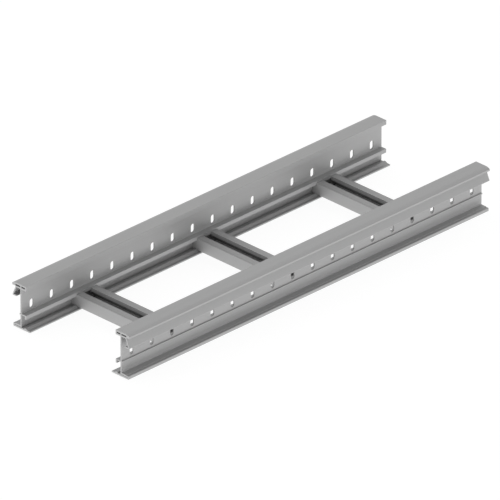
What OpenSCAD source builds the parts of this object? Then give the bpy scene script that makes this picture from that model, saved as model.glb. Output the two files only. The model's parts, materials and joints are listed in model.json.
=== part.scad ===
// Cable ladder section: two extruded side rails joined by slotted channel rungs.
// X runs along the rails, Y across the ladder, Z up.
// The origin is the middle of the ladder on the floor that the rail feet stand on.

/* [Ladder] */
// Length of the section along the rails
section_l = 900; // [600:300:1800]
// Width of the ladder between the middles of the two rail webs
ladder_w = 250; // [150:50:600]
// Distance from one rung to the next
rung_pitch = 300; // [150:50:300]

/* [Side rail web] */
// Height of a side rail
rail_h = 88; // [84:1:110]
// Thickness of the rail web
web_t = 2.5; // [2:0.1:3]
// Height of the small rib along the outer side of the web
rib_h = 2.2; // [1.5:0.1:3]
// How far the small rib stands out from the web
rib_out = 2.2; // [1:0.1:3]
// Height of the rib's top above the floor
rib_z = 30.4; // [29:0.1:31.5]

/* [Splice slots] */
// Distance from one slot to the next
slot_pitch = 50; // [25:5:60]
// Width of a slot
slot_w = 9; // [6:0.5:11]
// Length of a slot from end to end
slot_l = 17; // [12:0.5:20]
// Height of a slot's middle above the floor
slot_z = 43; // [42:0.5:48]

/* [Side rail top box] */
// Height of the hollow box along the top of the rail
box_h = 9; // [8:0.5:12]
// Thickness of the box's top and bottom plates
box_plate_t = 3; // [2:0.1:3.2]
// How far the box reaches inwards from the middle of the web
box_in = 13.1; // [10:0.1:16]
// Thickness of the box's inner side wall
box_side_t = 2.4; // [2:0.1:3]
// Radius of the box's inner corners
box_r = 0.6; // [0.3:0.1:1]
// How far the nose reaches outwards from the middle of the web
nose_out = 21.5; // [19:0.1:24]
// Width of the solid nose beyond the outer hollow
nose_w = 8; // [7:0.1:9]
// Depth of the nose's underside below the top of the rail
nose_h = 6.8; // [6.5:0.1:8]
// Distance from the middle of the web to where the top begins to curve down
crown_o = 11.5; // [8:0.5:13]
// Radius of the top's curve down to the nose
crown_r = 18; // [14:1:30]
// Radius of the nose's corners
nose_r = 1; // [0.5:0.1:1.2]

/* [Side rail outer lip] */
// Distance from the middle of the web to the middle of the lip's root
lip_root_o = 12; // [11.5:0.1:13.5]
// Distance from the middle of the web to the middle of the lip's bottom corner
lip_foot_o = 19.7; // [17:0.1:20]
// Height of the underside of the lip's return above the floor
lip_z = 61; // [59:0.5:66]
// Thickness of the lip
lip_t = 2.2; // [1.8:0.1:2.6]
// Width of the return at the bottom of the lip
return_w = 10.1; // [8:0.1:11.5]

/* [Side rail ledge] */
// Height of the ledge's top above the floor
ledge_z = 30.4; // [30.4:0.1:33]
// Thickness of the ledge
ledge_t = 2.2; // [1.8:0.1:2.6]
// How far the ledge reaches inwards from the middle of the web
ledge_in = 13; // [12.5:0.1:14]
// Height of the ledge's hanging lip, with the ledge
ledge_lip_h = 7.4; // [6:0.1:9]
// Thickness of the hanging lip
ledge_lip_t = 3.1; // [2:0.1:3.2]

/* [Side rail foot] */
// Thickness of the bottom plate
foot_t = 3.2; // [2.5:0.1:3.5]
// Height of the slit between the bottom plate and the web
slit_h = 0.8; // [0.6:0.1:1.5]
// Thickness of the upper plate that carries the web
foot_plate_t = 3.2; // [2.5:0.1:4]
// Drop of the upper plate near its outer edge
foot_step = 0.9; // [0.4:0.1:1.2]
// Distance from the middle of the web to that drop
foot_step_o = 13.3; // [10:0.1:15]
// How far the foot reaches outwards from the middle of the web
foot_out = 19; // [18:0.5:21]
// Thickness of the foot's closed outer edge
foot_edge_t = 2.5; // [2:0.1:3]
// Radius of the foot's outer corners and of its inner tip
foot_r = 0.8; // [0.4:0.1:1]
// How far the bottom plate reaches inwards from the middle of the web
foot_in = 23; // [20:0.5:26]
// Thickness of the bottom plate between the bead and its inner tip
foot_tip_t = 2.8; // [2.1:0.1:3]
// Height of the bead on the bottom plate
bead_z = 5.2; // [4.5:0.1:6]
// Distance from the middle of the web to the bead
bead_o = 8.6; // [7:0.1:9.4]
// Width of the bead's top
bead_w = 2.8; // [2:0.1:4]
// Width of the slope from the bead's top down to the thin part of the plate
bead_slope_w = 5.2; // [3:0.1:6]

/* [Rung] */
// Width of a rung
rung_w = 51.5; // [40:0.5:60]
// Height of a rung
rung_h = 23.7; // [20:0.1:24.1]
// Wall of a rung
rung_t = 2; // [1.5:0.1:2.5]
// Width of the open slot along the top of a rung
rung_slot_w = 22; // [16:0.5:26]
// Depth of the lips along the slot
rung_lip_h = 7.4; // [5:0.1:9]
// Radius of a rung's outer corners
rung_r = 1.2; // [0.8:0.1:1.5]

/* [Fit] */
// Clearance between a rung's end and the rail around it
rung_fit = 0.3; // [0.2:0.1:0.5]

/* [Hidden] */
$fn = 48;
eps = 0.01;
cut_over = 1;
metal = [0.66, 0.67, 0.68];

slot_count = floor(section_l / slot_pitch);
slot_first_x = -(slot_count - 1) * slot_pitch / 2;
rung_count = floor(section_l / rung_pitch);
rung_first_x = -(rung_count - 1) * rung_pitch / 2;

web_o = web_t / 2;
web_z = foot_t + slit_h;
box_z = rail_h - box_h;
cavity_out = nose_out - nose_w;
foot_top_z = web_z + foot_plate_t;
foot_edge_z = foot_top_z - foot_step;
bead_end = bead_o + bead_w;
slope_end = bead_end + bead_slope_w;
rung_len = ladder_w - web_t - 2 * rung_fit;

// A flat rectangle between two corners of the section.
module bar(from, to) {
    translate(from) square(to - from);
}

// A rectangle with its four corners rounded.
module round_bar(from, to, r) {
    bar(from + [r, 0], to - [r, 0]);
    bar(from + [0, r], to - [0, r]);
    for (o = [from.x + r, to.x - r], z = [from.y + r, to.y - r])
        translate([o, z]) circle(r);
}

// A plate of even thickness between two points, with round ends.
module strip(from, to, t) {
    run = to - from;
    translate(from) rotate(atan2(run.y, run.x)) translate([0, -t / 2]) square([norm(run), t]);
    translate(from) circle(t / 2);
    translate(to) circle(t / 2);
}

// The hollow box along the top, with its solid round nose.
module box_section() {
    difference() {
        union() {
            round_bar([-box_in, box_z], [crown_o, rail_h], box_r);
            bar([0, box_z], [crown_o, rail_h]);
            bar([0, box_z], [cavity_out, box_z + box_plate_t]);
            nose_section();
        }
        for (side = [[-box_in + box_side_t, -web_o], [web_o, cavity_out]])
            bar([side[0], box_z + box_plate_t], [side[1], rail_h - box_plate_t]);
    }
}

// The top curves down as one arc from crown_o, and a small round corner ends it at the nose's face.
module nose_section() {
    low = rail_h - nose_h;
    middle = [crown_o, rail_h - crown_r];
    corner_o = nose_out - nose_r;
    corner_z = middle.y + sqrt((crown_r - nose_r) ^ 2 - (corner_o - crown_o) ^ 2);
    touch = middle + ([corner_o, corner_z] - middle) * crown_r / (crown_r - nose_r);
    intersection() {
        translate(middle) circle(crown_r, $fn = 96);
        bar([crown_o - eps, low], [touch.x, rail_h + eps]);
    }
    for (z = [corner_z, low + nose_r])
        translate([corner_o, z]) circle(nose_r);
    bar([crown_o, low], [corner_o, corner_z]);
    bar([corner_o - eps, low + nose_r], [nose_out, corner_z]);
}

// The lip that leans outwards below the box, and the return at its bottom.
module lip_section() {
    mid_z = lip_z + lip_t / 2;
    strip([lip_root_o, box_z + lip_t / 2], [lip_foot_o, mid_z], lip_t);
    strip([lip_foot_o - return_w + lip_t, mid_z], [lip_foot_o, mid_z], lip_t);
}

module rib_section() {
    bar([0, rib_z - rib_h], [web_o + rib_out, rib_z]);
}

// The ledge on the inner side, with its hanging lip.
module ledge_section() {
    bar([-ledge_in, ledge_z - ledge_t], [0, ledge_z]);
    bar([-ledge_in, ledge_z - ledge_lip_h], [-ledge_in + ledge_lip_t, ledge_z]);
}

// The foot: an upper plate under the web, folded back below itself into the bottom plate.
module foot_section() {
    edge_in = foot_out - foot_edge_t;
    bar([-web_o, web_z], [foot_step_o, foot_top_z]);
    bar([0, web_z], [edge_in, foot_edge_z]);
    bar([edge_in - eps, 0], [foot_out - foot_r, foot_edge_z]);
    round_bar([edge_in, 0], [foot_out, foot_edge_z], foot_r);
    polygon([
        [edge_in, 0],
        [edge_in, foot_t],
        [-bead_o, foot_t],
        [-bead_o, bead_z],
        [-bead_end, bead_z],
        [-slope_end, foot_tip_t],
        [-slope_end, 0]
    ]);
    bar([-foot_in + foot_r, 0], [-slope_end + eps, foot_tip_t]);
    round_bar([-foot_in, 0], [-slope_end, foot_tip_t], foot_r);
}

// The rail's section. Its first axis points outwards from the ladder, its second up.
module rail_section() {
    bar([-web_o, web_z], [web_o, rail_h - eps]);
    box_section();
    lip_section();
    rib_section();
    ledge_section();
    foot_section();
}

// One upright slot through the web.
module splice_slot() {
    straight = slot_l - slot_w;
    rotate([90, 0, 0]) {
        for (z = [-straight / 2, straight / 2])
            translate([0, z, 0]) cylinder(d = slot_w, h = web_t + 2 * cut_over, center = true);
        cube([slot_w, straight, web_t + 2 * cut_over], center = true);
    }
}

// A side rail at the middle of the ladder, with its outer side towards +Y.
module side_rail() {
    color(metal)
    difference() {
        translate([-section_l / 2, 0, 0]) rotate([90, 0, 90]) linear_extrude(section_l) rail_section();
        for (i = [0:slot_count - 1])
            translate([slot_first_x + i * slot_pitch, 0, slot_z]) splice_slot();
    }
}

module side_rail_left() {
    translate([0, ladder_w / 2, 0]) side_rail();
}

module side_rail_right() {
    mirror([0, 1, 0]) side_rail_left();
}

// The rung's section: a channel with an open slot on top and a lip along each side of it.
module rung_section() {
    half = rung_w / 2;
    half_slot = rung_slot_w / 2;
    difference() {
        round_bar([-half, 0], [half, rung_h], rung_r);
        bar([-half + rung_t, rung_t], [half - rung_t, rung_h - rung_t]);
        bar([-half_slot, rung_h / 2], [half_slot, rung_h + cut_over]);
    }
    for (side = [-half_slot - rung_t, half_slot])
        bar([side, rung_h - rung_lip_h], [side + rung_t, rung_h]);
}

// What is cut from a rung's end so that it clears the ledge's lip and the foot's bead.
// Its first axis points outwards from the ladder, from the middle of the web.
module cope_section() {
    lip_from = -ledge_in - rung_fit;
    lip_to = -ledge_in + ledge_lip_t + rung_fit;
    bar([lip_from, ledge_z - ledge_lip_h - rung_fit], [lip_to, ledge_z]);
    top = bead_z + rung_fit;
    tip_top = foot_tip_t + rung_fit;
    polygon([
        [-bead_o + rung_fit, 0],
        [-bead_o + rung_fit, top],
        [-bead_end - rung_fit, top],
        [-slope_end - rung_fit, tip_top],
        [-foot_in - rung_fit, tip_top],
        [-foot_in - rung_fit, 0]
    ]);
}

module rung(i) {
    color(metal)
    translate([rung_first_x + (i - 1) * rung_pitch, 0, 0])
    difference() {
        translate([0, rung_len / 2, foot_t]) rotate([90, 0, 0]) linear_extrude(rung_len) rung_section();
        for (flip = [0, 1])
            mirror([0, flip, 0])
            translate([-rung_w / 2 - cut_over, ladder_w / 2, 0])
            rotate([90, 0, 90])
            linear_extrude(rung_w + 2 * cut_over) cope_section();
    }
}

side_rail_left();
side_rail_right();
for (i = [1:rung_count])
    rung(i);
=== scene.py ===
# %% [markdown]
# # A cable ladder section
# This lesson looks at a straight length of cable ladder. It is made of bare
# extruded aluminium: two side rails, each with a hollow box along its top, a
# web with upright slots and a folded foot, and three slotted channel rungs
# that sit between them. Each of those shapes is already a solid in the frame,
# with its real thickness, holes and edges. What is left for Blender is how
# it looks: where the camera stands, what the light is, and what
# mill-finished metal shows up close, which is more than one plain grey.

import json
import math

import bpy
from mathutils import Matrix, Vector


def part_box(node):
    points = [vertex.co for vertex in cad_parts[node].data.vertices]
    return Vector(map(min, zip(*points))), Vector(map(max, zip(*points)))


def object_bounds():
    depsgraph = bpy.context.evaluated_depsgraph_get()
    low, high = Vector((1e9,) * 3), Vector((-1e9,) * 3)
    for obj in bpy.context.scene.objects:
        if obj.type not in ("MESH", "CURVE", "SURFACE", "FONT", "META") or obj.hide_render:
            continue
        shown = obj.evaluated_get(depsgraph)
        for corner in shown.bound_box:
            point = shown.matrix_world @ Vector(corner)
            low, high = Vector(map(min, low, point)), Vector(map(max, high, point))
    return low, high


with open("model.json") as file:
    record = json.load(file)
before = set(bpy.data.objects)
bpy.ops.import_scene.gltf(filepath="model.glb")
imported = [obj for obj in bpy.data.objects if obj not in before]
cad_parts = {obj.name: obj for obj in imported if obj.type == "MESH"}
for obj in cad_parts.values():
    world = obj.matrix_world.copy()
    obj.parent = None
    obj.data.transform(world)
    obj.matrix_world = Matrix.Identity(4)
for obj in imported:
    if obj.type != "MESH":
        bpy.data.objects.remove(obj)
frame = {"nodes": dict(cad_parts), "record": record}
cad_low, cad_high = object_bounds()
print("ladder box, m:", [round(v, 4) for v in (*cad_low, *cad_high)])

# %% [markdown]
# ## The camera
# The picture is a catalogue view from the near left end, an eighth of a turn
# round and about 28 degrees above the floor. Its two rails stay parallel, so
# the camera has to stand very far away with a very long lens. A parallel
# camera would give the same picture, but its width is fixed, and the ladder
# is longer than the picture is wide, so a view square to the side would crop
# it. The colours are left alone by choosing the Standard view transform.

# %% Camera
PICTURE_WIDTH = 0.88317
AIM_POINT = (-0.01343, -0.00818, 0.0440)
AZIMUTH = math.radians(45)
ELEVATION = math.asin(0.4662)
SENSOR_MM = 36.0
LENS_MM = 1700.0
CLIP_START = 1.0
CLIP_END = 200.0

distance = PICTURE_WIDTH * LENS_MM / SENSOR_MM
towards_camera = (
    -math.sin(AZIMUTH) * math.cos(ELEVATION),
    -math.cos(AZIMUTH) * math.cos(ELEVATION),
    math.sin(ELEVATION),
)
camera_data = bpy.data.cameras.new("camera")
camera_data.lens = LENS_MM
camera_data.sensor_width = SENSOR_MM
camera_data.clip_start = CLIP_START
camera_data.clip_end = CLIP_END
camera = bpy.data.objects.new("camera", camera_data)
camera.location = [a + distance * t for a, t in zip(AIM_POINT, towards_camera)]
camera.rotation_euler = (math.pi / 2 - ELEVATION, 0, -AZIMUTH)
bpy.context.scene.collection.objects.link(camera)
bpy.context.scene.camera = camera
bpy.context.scene.view_settings.view_transform = "Standard"
print("camera distance, m:", round(distance, 2))

# %% [markdown]
# ## Small tools for node graphs
# A material is a graph of nodes, and long graphs are hard to read when every
# link is a line of its own. A few helpers keep them short. One adds a node
# with its settings, and one does a step of arithmetic on two inputs, which
# may be numbers or outputs of other nodes. The rest are made of those two.


# %% Node helpers
def plug(tree, value, socket):
    """Link an output to the socket, or set the socket to a plain value."""
    if isinstance(value, bpy.types.NodeSocket):
        tree.links.new(value, socket)
    else:
        socket.default_value = value


def add(tree, kind, **settings):
    """A node of this kind, with its settings and its socket values."""
    node = tree.nodes.new(kind)
    for key, value in settings.items():
        if hasattr(node, key) and key not in node.inputs:
            setattr(node, key, value)
        else:
            plug(tree, value, node.inputs[key])
    return node


def calc(tree, operation, a, b=0.0):
    """One step of arithmetic. The operation's name says what it does."""
    node = add(tree, "ShaderNodeMath", operation=operation)
    plug(tree, a, node.inputs[0])
    plug(tree, b, node.inputs[1])
    return node.outputs[0]


def length_of(tree, a, b):
    """The length of a line that goes a one way and b at right angles to it."""
    squares = calc(tree, "ADD", calc(tree, "MULTIPLY", a, a), calc(tree, "MULTIPLY", b, b))
    return calc(tree, "SQRT", squares)


def blend_of(tree, share, low, high):
    """low where share is 0, high where it is 1, and in proportion between."""
    step = calc(tree, "SUBTRACT", high, low)
    return calc(tree, "ADD", calc(tree, "MULTIPLY", share, step), low)


def shader_mix(tree, share, low, high):
    """The shader low where share is 0 and the shader high where it is 1."""
    node = add(tree, "ShaderNodeMixShader", Fac=share)
    tree.links.new(low, node.inputs[1])
    tree.links.new(high, node.inputs[2])
    return node.outputs[0]


# %% [markdown]
# ## Masks
# A mask is a number that is 1 where something applies and 0 where it doesn't.
# Asking how far a value is from another, or between which two it lies, gives
# one, and multiplying masks keeps only the spots where all of them apply.


# %% Mask helpers
def apart(tree, a, b):
    """How far a and b are from each other."""
    return calc(tree, "ABSOLUTE", calc(tree, "SUBTRACT", a, b))


def near(tree, a, b, reach):
    """1 where a is less than reach from b."""
    return calc(tree, "LESS_THAN", apart(tree, a, b), reach)


def ramp_of(tree, value, start, end):
    """0 at start and before it, 1 at end and past it, in proportion between."""
    node = add(tree, "ShaderNodeMapRange", Value=value)
    node.inputs["From Min"].default_value = start
    node.inputs["From Max"].default_value = end
    return node.outputs[0]


def all_of(tree, first, *others):
    """1 where every one of these masks is 1."""
    product = first
    for mask in others:
        product = calc(tree, "MULTIPLY", product, mask)
    return product


def facing(tree, axis):
    """How far the face points along the axis X, Y or Z, from -1 to 1."""
    normal = add(tree, "ShaderNodeNewGeometry").outputs["True Normal"]
    return add(tree, "ShaderNodeSeparateXYZ", Vector=normal).outputs[axis]


def backdrop_rays(tree):
    """1 for rays that look at the backdrop: camera, gloss and glass rays."""
    path = add(tree, "ShaderNodeLightPath")
    seen = path.outputs["Is Camera Ray"]
    for kind in ("Is Glossy Ray", "Is Transmission Ray"):
        seen = calc(tree, "MAXIMUM", seen, path.outputs[kind])
    return seen


# %% [markdown]
# ## The floor
# Catalogue pictures often stand their goods on a white table that is lit from
# below, which is why the upright faces here are as bright as the tops. The
# floor is such a sheet: a thin coat of matte paint, which keeps a faint
# shadow, over an under-light. A light table shines more strongly straight up
# than aslant, and Layer Weight tells the two apart. What the eye sees of the
# sheet is set apart from what it does to the ladder: the rays that look at
# it, the camera's own and the blurred reflections in the metal, see an even
# glow that brings the open floor to white.

# %% Floor
FLOOR_HALF_WIDTH = 30.0
FLOOR_PAINT = 0.2
UNDER_LIGHT_UP = 1.45
UNDER_LIGHT_ASLANT = 0.81
SEEN_GLOW = 0.886

corners = [
    (x * FLOOR_HALF_WIDTH, y * FLOOR_HALF_WIDTH, 0.0)
    for x, y in ((-1, -1), (1, -1), (1, 1), (-1, 1))
]
floor_mesh = bpy.data.meshes.new("floor")
floor_mesh.from_pydata(corners, [], [(0, 1, 2, 3)])
floor = bpy.data.objects.new("floor", floor_mesh)
bpy.context.scene.collection.objects.link(floor)

sheet = bpy.data.materials.new("floor_sheet")
sheet.use_nodes = True
tree = sheet.node_tree
tree.nodes.clear()
aslant = add(tree, "ShaderNodeLayerWeight", Blend=0.5).outputs["Facing"]
under_light = blend_of(tree, aslant, UNDER_LIGHT_UP, UNDER_LIGHT_ASLANT)
glow = blend_of(tree, backdrop_rays(tree), under_light, SEEN_GLOW)
coat = add(tree, "ShaderNodeBsdfDiffuse", Color=(FLOOR_PAINT,) * 3 + (1,))
lit = add(tree, "ShaderNodeEmission", Strength=glow)
both = add(tree, "ShaderNodeAddShader")
tree.links.new(coat.outputs[0], both.inputs[0])
tree.links.new(lit.outputs[0], both.inputs[1])
out = add(tree, "ShaderNodeOutputMaterial")
tree.links.new(both.outputs[0], out.inputs["Surface"])
floor_mesh.materials.append(sheet)
print("floor:", 2 * FLOOR_HALF_WIDTH, "m square")

# %% [markdown]
# ## The light
# The picture has no hard shadow and no sharp highlight, so the light comes
# from a whole dome at once and no lamp is needed. The dome isn't even: behind
# the ladder it is brightest high up, where a studio hangs its big soft lamp,
# and in front it is bright only low down, because the camera and its stand
# shade the rest. That is what makes the tops, the webs and the rung sides
# differ in grey. Each half is a colour ramp over height, and a cosine of the
# compass direction blends one into the other. The camera itself sees plain
# white.

# %% Dome of light
DOME_FULL = 1.25
DOME_BEHIND = {0.0: 0.53, 0.25: 0.83, 0.5: 1.09, 0.75: 1.04, 1.0: 0.55}
DOME_IN_FRONT = {0.0: 1.1, 0.25: 0.86, 0.5: 0.39, 0.75: 0.23, 1.0: 0.55}
# Keeps the division below safe straight overhead.
SMALLEST_REACH = 1e-4


def dome_half(tree, height, strengths):
    """Strength of the light by height, from 0 at the horizon to 1 overhead."""
    ramp = add(tree, "ShaderNodeValToRGB", Fac=height)
    marks = ramp.color_ramp.elements
    marks.remove(marks[-1])
    for place, strength in strengths.items():
        mark = marks[0] if place == 0.0 else marks.new(place)
        mark.position = place
        mark.color = (strength / DOME_FULL,) * 3 + (1,)
    return ramp.outputs["Color"]


dome = bpy.data.worlds.new("dome")
bpy.context.scene.world = dome
dome.use_nodes = True
tree = dome.node_tree
tree.nodes.clear()
direction = add(tree, "ShaderNodeTexCoord").outputs["Generated"]
part = add(tree, "ShaderNodeSeparateXYZ", Vector=direction)
x, y, height = part.outputs["X"], part.outputs["Y"], part.outputs["Z"]
reach = calc(tree, "MAXIMUM", length_of(tree, x, y), SMALLEST_REACH)
cosine = calc(tree, "DIVIDE", calc(tree, "ADD", x, y), reach)
behind = blend_of(tree, calc(tree, "DIVIDE", cosine, math.sqrt(2)), 0.5, 1.0)
in_front_level = dome_half(tree, height, DOME_IN_FRONT)
behind_level = dome_half(tree, height, DOME_BEHIND)
level = blend_of(tree, behind, in_front_level, behind_level)
strength = calc(tree, "MULTIPLY", level, DOME_FULL)
light = add(tree, "ShaderNodeBackground", Color=(1, 1, 1, 1), Strength=strength)
white = add(tree, "ShaderNodeBackground", Color=(1, 1, 1, 1), Strength=1.0)
camera_ray = add(tree, "ShaderNodeLightPath").outputs["Is Camera Ray"]
surface = shader_mix(tree, camera_ray, light.outputs[0], white.outputs[0])
out = add(tree, "ShaderNodeOutputWorld")
tree.links.new(surface, out.inputs["Surface"])
print("dome strengths behind:", list(DOME_BEHIND.values()))
print("dome strengths in front:", list(DOME_IN_FRONT.values()))

# %% [markdown]
# ## The metal's skin
# Aluminium leaves the extrusion press with a satin grey skin. The die drags
# fine straight lines along it, the skin clouds a little as it cools, and
# handling adds a few short scuffs. Each of these is a noise texture on Object
# coordinates, which are metres here, because each solid's object sits at the
# origin. Stretching the coordinates along the extrusion turns round specks
# into long lines. The amounts stay within a few hundredths: from where the
# picture is taken the metal reads as one even grey, and the lines appear only
# when the camera comes close.

# %% Die lines, clouding and scuffs
FINE_LINES_PER_M = 900
BROAD_LINES_PER_M = 110
LINE_STRETCH_PER_M = 2.5
CLOUDS_PER_M = 22
CLOUD_DETAIL = 4.0
SCUFF_TURN = (0.35, 0.55, 0.6)
SCUFF_SCALE = (35, 1000, 1000)
SCUFF_START = 0.66
SCUFF_FULL = 0.74


def noise_of(tree, where, scale, detail=2.0, turn=(0, 0, 0)):
    """Noise from 0 to 1, with scale in cells a metre along X, Y and Z."""
    place = add(tree, "ShaderNodeMapping", Vector=where, Rotation=turn, Scale=scale)
    noise = add(tree, "ShaderNodeTexNoise", Vector=place.outputs[0], Scale=1.0, Detail=detail)
    return noise.outputs[0]


def line_scale(along, across_per_m):
    """Cells a metre: few along the extrusion's axis, many across it."""
    return tuple(LINE_STRETCH_PER_M if axis == along else across_per_m for axis in "XYZ")


print("fine die lines about every", round(1000 / FINE_LINES_PER_M, 2), "mm")

# %% [markdown]
# ## Edges
# No extruded edge is truly sharp, and a soft edge is what tells the eye that
# a thing is real. Rounding the mesh would change the solid, so the Bevel node
# does it for the light alone: it looks round each edge and turns the surface
# normal as a small radius would. Where that normal differs from the face's
# own, the spot is on an edge, which handling has also rubbed a little
# brighter.

# %% Edge softening
EDGE_RADIUS = 0.0004
EDGE_SAMPLES = 6
EDGE_RUB_START = 0.002
EDGE_RUB_FULL = 0.05


def soft_edges(tree):
    """The softened normal, and how far the spot lies on a rubbed edge."""
    soft = add(tree, "ShaderNodeBevel", samples=EDGE_SAMPLES, Radius=EDGE_RADIUS)
    face = add(tree, "ShaderNodeNewGeometry")
    match = add(tree, "ShaderNodeVectorMath", operation="DOT_PRODUCT")
    tree.links.new(soft.outputs["Normal"], match.inputs[0])
    tree.links.new(face.outputs["True Normal"], match.inputs[1])
    turned = calc(tree, "SUBTRACT", 1.0, match.outputs["Value"])
    return soft.outputs["Normal"], ramp_of(tree, turned, EDGE_RUB_START, EDGE_RUB_FULL)


print("edges look rounded to", 1000 * EDGE_RADIUS, "mm")

# %% [markdown]
# ## Cut ends
# The rails are sawn to length, and a fresh saw cut is brighter than the skin
# beside it. The blade leaves arcs that share one far centre. A ring pattern
# does that: the distance from a point below the ladder's middle, in waves as
# wide as the blade's marks. The mask is a plain one, since the cut ends are
# the only metal within a fifth of a millimetre of the ladder's two ends.

# %% Saw marks
CUT_DEPTH = 0.0002
BLADE_CENTRE_Z = -0.16
SAW_MARK_WIDTH = 0.0011

half_length = (cad_high[0] - cad_low[0]) / 2


def cut_end(tree, x):
    """1 on the sawn ends."""
    return calc(tree, "GREATER_THAN", calc(tree, "ABSOLUTE", x), half_length - CUT_DEPTH)


def saw_marks(tree, y, z, swing):
    """Waves round one half, over the distance from the blade's centre."""
    radius = length_of(tree, y, calc(tree, "SUBTRACT", z, BLADE_CENTRE_Z))
    turns = calc(tree, "DIVIDE", radius, SAW_MARK_WIDTH)
    wave = calc(tree, "SINE", calc(tree, "MULTIPLY", turns, 2 * math.pi))
    return calc(tree, "ADD", calc(tree, "MULTIPLY", wave, swing), 0.5)


print("saw marks from", round(half_length - CUT_DEPTH, 4), "m out")

# %% [markdown]
# ## Punched slots
# The slots are punched through the web from outside, after the rail is
# extruded. A punch shears the first third of the wall smooth and bright, and
# tears the rest away rough and dull. Both bands are also painted darker than
# the skin, as painted shade inside the slot. The walls can be told from the
# web's faces by their normals, which have no part along Y, and by their place
# inside the web. The record states the slots' height and size, so both come
# from there.

# %% Slot walls
BURNISHED_SHARE = 0.35
WALL_MARGIN = 0.0005
WALL_NORMAL = 0.3
WEB_HALF = 0.00125
DEPTH_REACH = 0.52

slots = [m for m in frame["record"]["mounts"] if m["name"].startswith("splice_slot")]
slot_z = slots[0]["pos_m"][2]
slot_half_length = slots[0]["dims"]["slot_length_mm"] / 2000
web_y = abs(slots[0]["pos_m"][1])
print("slots at z", slot_z, "m, half length", slot_half_length, "m, web at y", web_y)


def slot_wall(tree, y, z, cut):
    """1 on the slots' walls, and the depth: 0 at the web's inner face, 1 at its outer."""
    wall = calc(tree, "LESS_THAN", calc(tree, "ABSOLUTE", facing(tree, "Y")), WALL_NORMAL)
    at_slot = near(tree, z, slot_z, slot_half_length + WALL_MARGIN)
    out_y = calc(tree, "SUBTRACT", calc(tree, "ABSOLUTE", y), web_y - WEB_HALF)
    depth = calc(tree, "DIVIDE", out_y, 2 * WEB_HALF)
    in_web = near(tree, depth, 0.5, DEPTH_REACH)
    uncut = calc(tree, "SUBTRACT", 1.0, cut)
    return all_of(tree, wall, at_slot, in_web, uncut), depth


# %% [markdown]
# ## Painted shade on low faces
# Whatever faces up low down in the ladder, the rungs' flanges and the rails'
# ledges, ribs and feet, is painted a shade darker: painted shade for the
# shade that falls there under the parts above. It is a little darker on the
# rails, in the shelter of their own webs, than on the rungs. Two questions
# find those faces: how far the face's normal points up, and whether the spot
# lies no higher than the slots' lower ends, as the ledge and all that is
# under it do.

# %% Painted shade on low faces
SHADE_BELOW_SLOTS = 0.008
SHADE_NORMAL_START = 0.85
SHADE_NORMAL_FULL = 0.98

shade_top = slot_z - SHADE_BELOW_SLOTS
print("dust up to z", round(shade_top, 4), "m")


def low_face_shade(tree, z):
    """1 on low faces that face up, where shade is painted."""
    low = calc(tree, "LESS_THAN", z, shade_top)
    level = ramp_of(tree, facing(tree, "Z"), SHADE_NORMAL_START, SHADE_NORMAL_FULL)
    return all_of(tree, low, level)


# %% [markdown]
# ## Painted light above ledges and feet
# Just above a ledge or a foot, the last stretch of the web is painted paler:
# painted light that lifts the shade of the corner. In the picture the webs
# stay light right down to those corners, where the shade of the corner alone
# would grey them. The inner side of the web meets the ledge and the outer
# side meets the foot, so the strip starts at one height of the rail's section
# or the other, by the side of the web that the spot is on.

# %% Painted light above ledges and feet
LEDGE_TOP = 0.0304
FOOT_TOP = 0.0072
STRIP_HEIGHT = 0.008
STRIP_MARGIN = 0.0002
UPRIGHT_NORMAL = 0.9


def painted_light_strip(tree, y, z):
    """Painted light on the web just above a ledge or foot: 1 there, fading to 0 at the strip's top.
    """
    off_web = calc(tree, "SUBTRACT", calc(tree, "ABSOLUTE", y), web_y)
    outside = calc(tree, "GREATER_THAN", off_web, 0.0)
    on_web = near(tree, off_web, 0.0, WEB_HALF + STRIP_MARGIN)
    sideways = calc(tree, "ABSOLUTE", facing(tree, "Y"))
    upright = calc(tree, "GREATER_THAN", sideways, UPRIGHT_NORMAL)
    above = calc(tree, "SUBTRACT", z, blend_of(tree, outside, LEDGE_TOP, FOOT_TOP))
    started = calc(tree, "GREATER_THAN", above, -STRIP_MARGIN)
    return all_of(tree, ramp_of(tree, above, STRIP_HEIGHT, 0.0), upright, on_web, started)


print("sheltered strips", 1000 * STRIP_HEIGHT, "mm high")

# %% [markdown]
# ## Inside the rungs
# A rung is a channel that is open along its top. Under the flanges the
# channel's floor is painted paler, as painted light, and it has no metal
# share, so it scatters light instead of mirroring it. The side walls are
# painted darker, as painted shade. Below the open slot the floor keeps the
# plain finish. The lips that hang down along the slot are painted a little
# brighter, as painted light.
# The places come from the rung's own section: the same distance from the
# middle of each rung, found by taking the nearest rung's middle away from X.

# %% Channel floor, channel walls and slot lips
RUNG_WALL = 0.002
RUNG_SLOT_HALF = 0.011
RUNG_LIP_HEIGHT = 0.0074
SURFACE_MARGIN = 0.0003
LIT_FLOOR_WIDTH = 0.01
LIT_FLOOR_FADE = 0.004

rung_boxes = [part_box(name) for name in frame["nodes"] if name.startswith("rung")]
rung_middles = sorted((low[0] + high[0]) / 2 for low, high in rung_boxes)
rung_pitch = rung_middles[1] - rung_middles[0]
rung_low, rung_high = rung_boxes[0]
channel_half = (rung_high[0] - rung_low[0]) / 2 - RUNG_WALL
channel_bottom = rung_low[2] + RUNG_WALL
lip_bottom = rung_high[2] - RUNG_LIP_HEIGHT - SURFACE_MARGIN
lit_floor_start = channel_half - LIT_FLOOR_WIDTH
print("rungs every", round(rung_pitch, 4), "m, channel floor at", round(channel_bottom, 4), "m")


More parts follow.
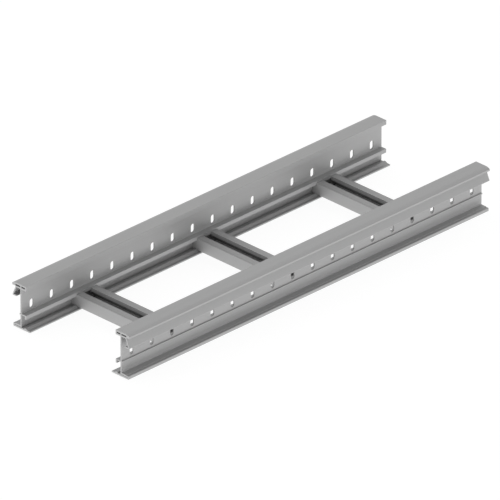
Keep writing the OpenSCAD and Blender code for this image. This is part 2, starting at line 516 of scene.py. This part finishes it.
def channel_inside(tree, x, z):
    """Three masks for painted light and shade: the channel's floor, its side walls, the slot's
    lips.
    """
    turns = calc(tree, "ROUND", calc(tree, "DIVIDE", x, rung_pitch))
    across = apart(tree, x, calc(tree, "MULTIPLY", turns, rung_pitch))
    inside = calc(tree, "LESS_THAN", across, channel_half + SURFACE_MARGIN)
    bottom = near(tree, z, channel_bottom, SURFACE_MARGIN)
    floor_light_ramp = ramp_of(tree, across, lit_floor_start, lit_floor_start + LIT_FLOOR_FADE)
    wall = near(tree, across, channel_half, SURFACE_MARGIN)
    lip = near(tree, across, RUNG_SLOT_HALF, SURFACE_MARGIN)
    high_up = calc(tree, "GREATER_THAN", z, lip_bottom)
    return (
        all_of(tree, bottom, floor_light_ramp, inside),
        all_of(tree, wall, inside),
        all_of(tree, lip, high_up),
    )


# %% [markdown]
# ## The maps of the finish
# A map is whatever varies over the surface: a coordinate, a direction, a
# pattern or a mask. The grey, the roughness and the relief all ask for the
# same ones, so one function makes them once for each material and hands them
# over by name. The rails and the rungs are the same metal, and in their maps
# only the direction of the die lines differs.


# %% Maps
def maps_of(tree, along):
    """The finish's maps by name, with die lines along the axis X or Y."""
    where = add(tree, "ShaderNodeTexCoord").outputs["Object"]
    part = add(tree, "ShaderNodeSeparateXYZ", Vector=where)
    x, y, z = (part.outputs[axis] for axis in "XYZ")
    streak = noise_of(tree, where, SCUFF_SCALE, turn=SCUFF_TURN)
    normal, edge = soft_edges(tree)
    cut = cut_end(tree, x)
    wall, depth = slot_wall(tree, y, z, cut)
    return {
        "x": x,
        "y": y,
        "z": z,
        "fine": noise_of(tree, where, line_scale(along, FINE_LINES_PER_M)),
        "broad": noise_of(tree, where, line_scale(along, BROAD_LINES_PER_M)),
        "cloud": noise_of(tree, where, (CLOUDS_PER_M,) * 3, detail=CLOUD_DETAIL),
        "scuff": ramp_of(tree, streak, SCUFF_START, SCUFF_FULL),
        "normal": normal,
        "edge": edge,
        "cut": cut,
        "marks": saw_marks(tree, y, z, streak),
        "wall": wall,
        "burnished": calc(tree, "GREATER_THAN", depth, 1.0 - BURNISHED_SHARE),
    }


# %% [markdown]
# ## The metal's grey
# The grey starts from the plain skin and is changed step by step. Each step
# multiplies it by a number that a map picks between two ends. First come
# lines, clouding, scuffs and rubbed edges, which all of the metal has, then
# the steps that differ between rails and rungs: painted shade on the low
# upward faces, painted light on the webs just above the ledges and feet, and
# painted light and shade inside the channels. The sawn ends and the punched
# walls are laid over all that, because they were cut afterwards.

# %% Grey of the metal
ALUMINIUM = 0.445
FINE_LINE_TONE = 0.035
BROAD_LINE_TONE = 0.03
CLOUD_TONE = 0.03
SCUFF_BRIGHTER = 1.05
EDGE_BRIGHTER = 1.12
# Painted shade on the low upward faces, deeper on the rails than on the rungs.
RAIL_PAINTED_SHADE = 0.88
RUNG_PAINTED_SHADE = 0.93
# Painted light on the web just above the ledges and feet.
STRIP_PAINTED_LIGHT = 1.3
# Painted light on the channel's floor under the flanges.
FLOOR_PAINTED_LIGHT = 1.9
# Painted shade on the channel's side walls.
WALL_PAINTED_SHADE = 0.65
# Painted light on the slot's lips.
LIP_PAINTED_LIGHT = 1.17
CUT_BRIGHTER = 1.14
SAW_MARK_TONE = 0.05
# Punched walls: the torn band is duller than the burnished one, and both are painted darker as
# painted shade in the slot.
TORN_DULL_AND_SHADE = 0.72
BURNISHED_AND_SHADE = 0.95


def metal_grey(tree, maps, own_steps):
    """The grey of the finish, with the steps of the rails or rungs added."""
    steps = [
        (maps["fine"], 1 - FINE_LINE_TONE, 1 + FINE_LINE_TONE),
        (maps["broad"], 1 - BROAD_LINE_TONE, 1 + BROAD_LINE_TONE),
        (maps["cloud"], 1 - CLOUD_TONE, 1 + CLOUD_TONE),
        (maps["scuff"], 1.0, SCUFF_BRIGHTER),
        (maps["edge"], 1.0, EDGE_BRIGHTER),
    ]
    grey = 1.0
    for mask, low, high in steps + own_steps:
        grey = calc(tree, "MULTIPLY", grey, blend_of(tree, mask, low, high))
    sawn = blend_of(tree, maps["marks"], CUT_BRIGHTER - SAW_MARK_TONE, CUT_BRIGHTER + SAW_MARK_TONE)
    # The punch's two bands, both painted darker as painted shade.
    sheared = blend_of(tree, maps["burnished"], TORN_DULL_AND_SHADE, BURNISHED_AND_SHADE)
    grey = blend_of(tree, maps["cut"], grey, sawn)
    grey = blend_of(tree, maps["wall"], grey, sheared)
    return calc(tree, "MULTIPLY", grey, ALUMINIUM)


print("plain skin:", ALUMINIUM, "of the light comes back")

# %% [markdown]
# ## The metal's roughness and relief
# The same maps move the roughness, so that clouds and lines also catch the
# light differently, and rubbed edges, sawn ends and sheared walls shine a
# little more. A height for the Bump node is built the same way. The relief is
# about two hundredths of a millimetre deep, too fine to be worth modelling.

# %% Roughness and relief
SKIN_ROUGHNESS = 0.5
CLOUD_ROUGHER = 0.06
LINE_ROUGHER = 0.04
EDGE_SMOOTHER = 0.08
SAWN_ROUGHNESS = (0.38, 0.5)
SHEARED_ROUGHNESS = (0.6, 0.3)
FINE_LINE_HEIGHT = 0.3
BROAD_LINE_HEIGHT = 0.6
SCUFF_DEPTH = 0.2
BUMP_HEIGHT = 0.00002


def metal_roughness(tree, maps):
    """The roughness of the finish."""
    cloud_ends = (SKIN_ROUGHNESS - CLOUD_ROUGHER, SKIN_ROUGHNESS + CLOUD_ROUGHER)
    rough = blend_of(tree, maps["cloud"], *cloud_ends)
    rough = calc(tree, "ADD", rough, blend_of(tree, maps["broad"], -LINE_ROUGHER, LINE_ROUGHER))
    rough = calc(tree, "SUBTRACT", rough, blend_of(tree, maps["edge"], 0.0, EDGE_SMOOTHER))
    sawn = blend_of(tree, maps["marks"], *SAWN_ROUGHNESS)
    sheared = blend_of(tree, maps["burnished"], *SHEARED_ROUGHNESS)
    return blend_of(tree, maps["wall"], blend_of(tree, maps["cut"], rough, sawn), sheared)


def metal_relief(tree, maps):
    """The normal of the finish: soft edges, with lines and marks pressed in."""
    height = calc(tree, "MULTIPLY", maps["fine"], FINE_LINE_HEIGHT)
    broad = calc(tree, "MULTIPLY", maps["broad"], BROAD_LINE_HEIGHT)
    height = calc(tree, "ADD", height, broad)
    scuff = calc(tree, "MULTIPLY", maps["scuff"], SCUFF_DEPTH)
    height = calc(tree, "SUBTRACT", height, scuff)
    height = blend_of(tree, maps["cut"], height, maps["marks"])
    bump = add(tree, "ShaderNodeBump", Strength=1.0, Distance=BUMP_HEIGHT)
    tree.links.new(height, bump.inputs["Height"])
    tree.links.new(maps["normal"], bump.inputs["Normal"])
    return bump.outputs["Normal"]


print("relief of the skin: up to about", 1000 * BUMP_HEIGHT, "mm")

# %% [markdown]
# ## Mill finish, all together
# Bare polished aluminium is all mirror, but the oxide and the fine roughness
# of a mill finish scatter most of the light. The picture's webs show it: each
# darkens evenly on both sides of a rung, where a mirror would show the rung's
# image off to one side. So the metal share is only a quarter, and the
# channel's floor under the flanges, painted paler as painted light, has none.

# %% Mill finish
METAL_SHARE = 0.25


def mill_finish(name, along, channel=False):
    """Bare extruded aluminium with its die lines along the axis X or Y."""
    metal = bpy.data.materials.new(name)
    metal.use_nodes = True
    tree = metal.node_tree
    shader = tree.nodes["Principled BSDF"]
    maps = maps_of(tree, along)
    # Painted shade on the low upward faces.
    low_shade = low_face_shade(tree, maps["z"])
    share = METAL_SHARE
    if channel:
        lit_channel_floor, wall_shade, lip = channel_inside(tree, maps["x"], maps["z"])
        share = blend_of(tree, lit_channel_floor, METAL_SHARE, 0.0)
        own_steps = [
            (low_shade, 1.0, RUNG_PAINTED_SHADE),
            # The channel's floor under the flanges: painted light.
            (lit_channel_floor, 1.0, FLOOR_PAINTED_LIGHT),
            # The channel's side walls: painted shade.
            (wall_shade, 1.0, WALL_PAINTED_SHADE),
            # The slot's lips: painted light.
            (lip, 1.0, LIP_PAINTED_LIGHT),
        ]
    else:
        # Painted light on the web just above the ledge and the foot.
        corner_light = painted_light_strip(tree, maps["y"], maps["z"])
        own_steps = [(low_shade, 1.0, RAIL_PAINTED_SHADE), (corner_light, 1.0, STRIP_PAINTED_LIGHT)]
    grey = metal_grey(tree, maps, own_steps)
    colour = add(tree, "ShaderNodeCombineColor", Red=grey, Green=grey, Blue=grey)
    plug(tree, colour.outputs[0], shader.inputs["Base Color"])
    plug(tree, share, shader.inputs["Metallic"])
    plug(tree, metal_roughness(tree, maps), shader.inputs["Roughness"])
    plug(tree, metal_relief(tree, maps), shader.inputs["Normal"])
    return metal


# %% [markdown]
# ## Dressing the solids
# The rails' die lines run along X, as their extrusions do, and the rungs'
# along Y. A solid from the frame takes a finish through its material slots,
# and its mesh is left exactly as it came.

# %% Finishes on the rails and rungs
rail_metal = mill_finish("rail_mill_finish", "X")
rung_metal = mill_finish("rung_mill_finish", "Y", channel=True)
for name, piece in frame["nodes"].items():
    metal = rung_metal if name.startswith("rung") else rail_metal
    for slot in piece.material_slots:
        slot.material = metal
    print(name, "gets", metal.name)
